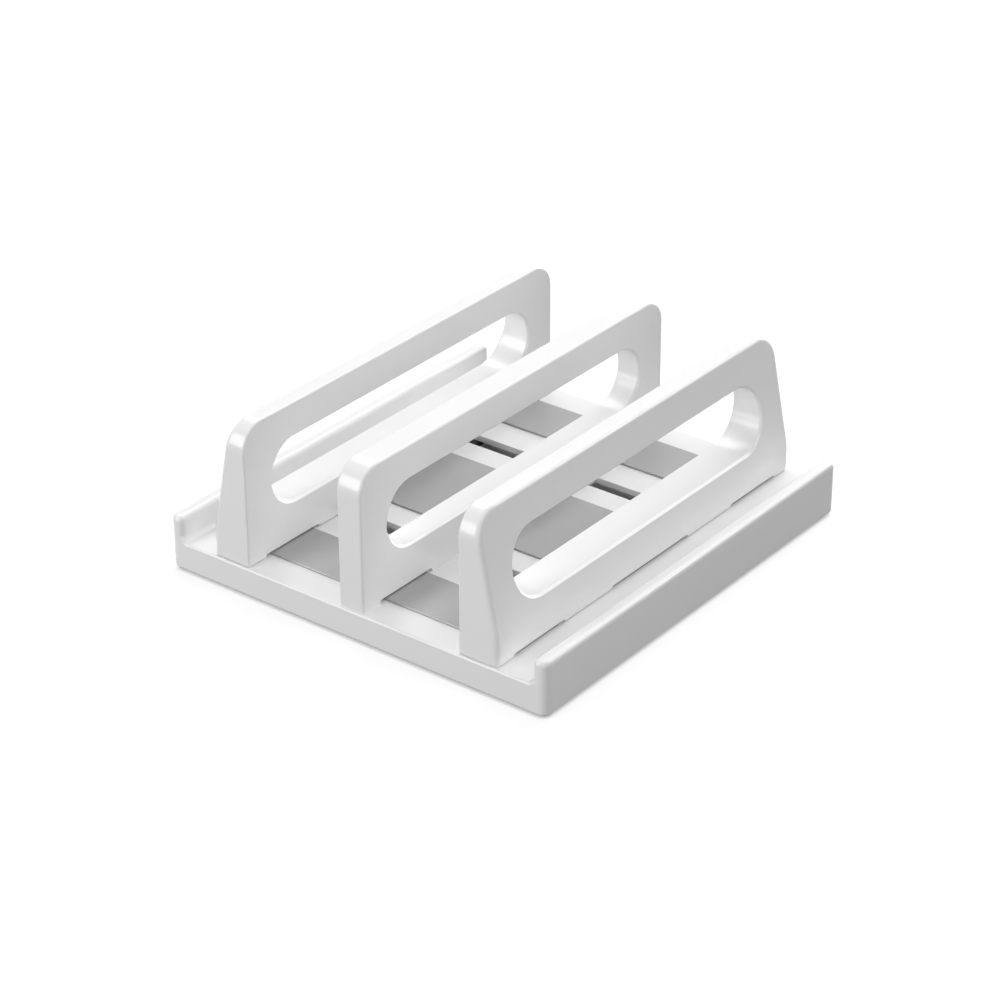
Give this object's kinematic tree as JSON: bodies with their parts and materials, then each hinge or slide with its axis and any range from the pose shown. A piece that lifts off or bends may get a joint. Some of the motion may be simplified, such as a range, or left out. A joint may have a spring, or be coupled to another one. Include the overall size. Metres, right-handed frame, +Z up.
{
  "type": "vertical laptop stand",
  "caption": "Low tray with side lips, a fixed centre divider and sliding side dividers with long windows, holding closed laptops upright.",
  "frame": {"origin": "middle of the footprint, on the surface that the rubber feet stand on", "axes": "+X to the right across the dividers, +Y from the front to the back along the dividers, +Z up"},
  "size_m": [0.18, 0.1916, 0.0718],
  "materials": {
    "white_moulding": "satin, cool white",
    "cover_plastic": "fine grained charcoal",
    "grip_silicone": "smooth grey silicone",
    "foot_rubber": "matt dark rubber",
    "shoe_plastic": "dark slippery plastic",
    "screw_steel": "zinc plated",
    "washer_steel": "plain steel",
    "nut_steel": "zinc plated"
  },
  "bodies": {
    "base": {"base_tray": "white_moulding", "bottom_cover": "cover_plastic", "front_grip_strip": "grip_silicone", "middle_grip_strip": "grip_silicone", "rear_grip_strip": "grip_silicone", "front_left_foot": "foot_rubber", "front_right_foot": "foot_rubber", "rear_left_foot": "foot_rubber", "rear_right_foot": "foot_rubber"},
    "left_carriage": {"left_divider": "white_moulding", "left_front_shoe": "shoe_plastic", "left_rear_shoe": "shoe_plastic", "left_clamp_screws": "screw_steel", "left_clamp_washers": "washer_steel", "left_clamp_nuts": "nut_steel"},
    "right_carriage": {"right_divider": "white_moulding", "right_front_shoe": "shoe_plastic", "right_rear_shoe": "shoe_plastic", "right_clamp_screws": "screw_steel", "right_clamp_washers": "washer_steel", "right_clamp_nuts": "nut_steel"}
  },
  "joints": [
    {"name": "left_divider_slide", "type": "slide", "parent": "base", "child": "left_carriage", "axis": [1, 0, 0], "range_m": [0, 0.039]},
    {"name": "right_divider_slide", "type": "slide", "parent": "base", "child": "right_carriage", "axis": [-1, 0, 0], "range_m": [0, 0.039]}
  ]
}
